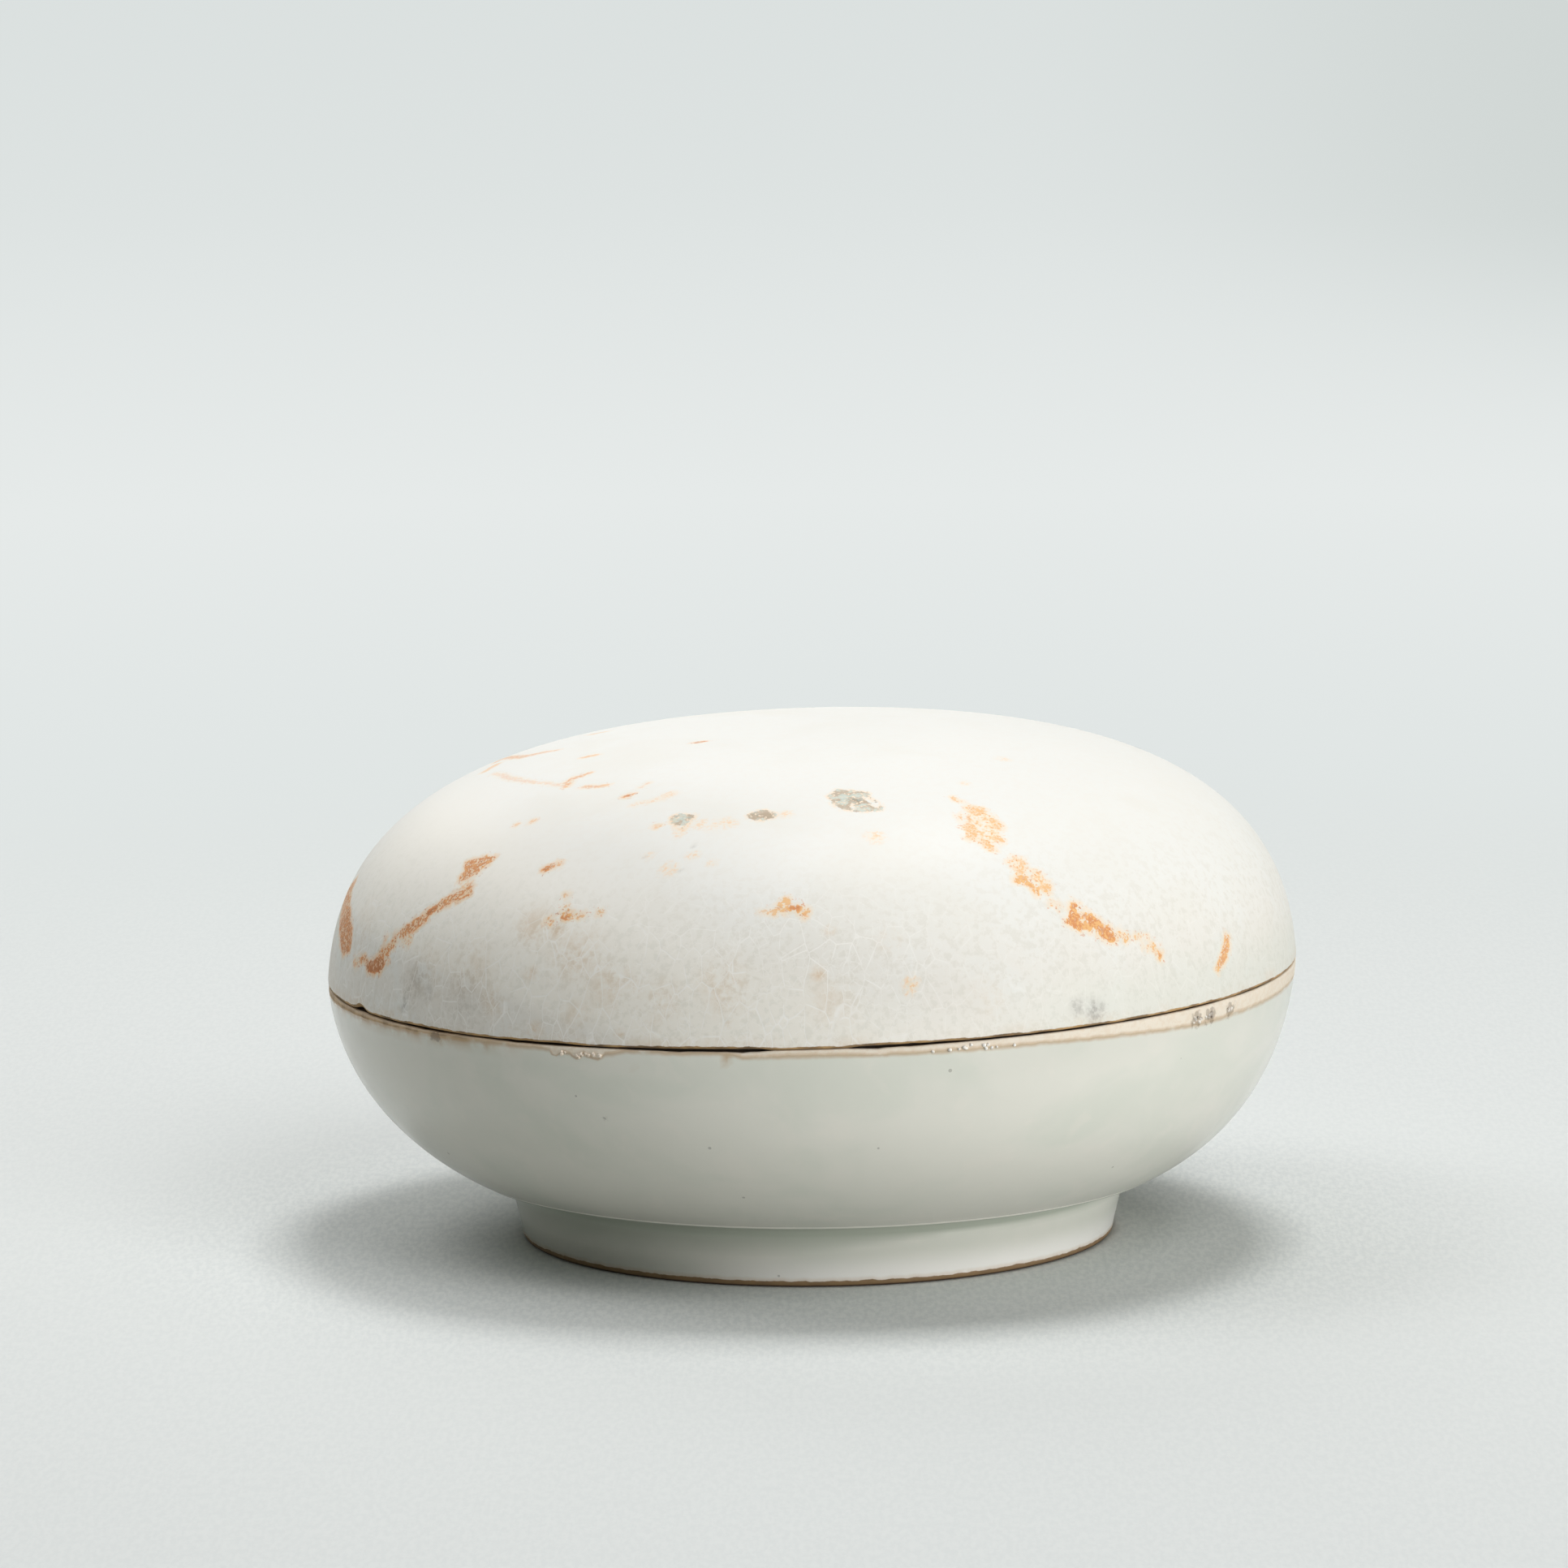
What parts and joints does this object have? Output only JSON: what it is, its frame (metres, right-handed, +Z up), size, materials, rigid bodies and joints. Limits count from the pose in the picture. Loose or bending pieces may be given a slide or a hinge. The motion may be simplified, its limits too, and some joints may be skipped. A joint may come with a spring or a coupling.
{
  "type": "covered box",
  "caption": "Round porcelain covered box: a footed bowl with an upstanding inner collar, and a domed lid that sits over the collar and lifts off.",
  "frame": {"origin": "on the plane that the foot ring stands on, below the middle of the bowl, which is the bottom centre of the box around the part", "axes": "+Z up through the lid's crown, -Y towards the viewer of the picture, +X to that viewer's right, the side on which rim and lid stand a little higher"},
  "size_m": [0.1196, 0.1196, 0.063],
  "materials": {
    "base_glaze": "gloss",
    "lid_glaze": "gloss"
  },
  "bodies": {
    "base": {"base": "base_glaze"},
    "lid": {"lid": "lid_glaze"}
  },
  "joints": [
    {"name": "lid_lift", "type": "slide", "parent": "base", "child": "lid", "axis": [0, 0, 1], "range_m": [0, 0.12]}
  ]
}
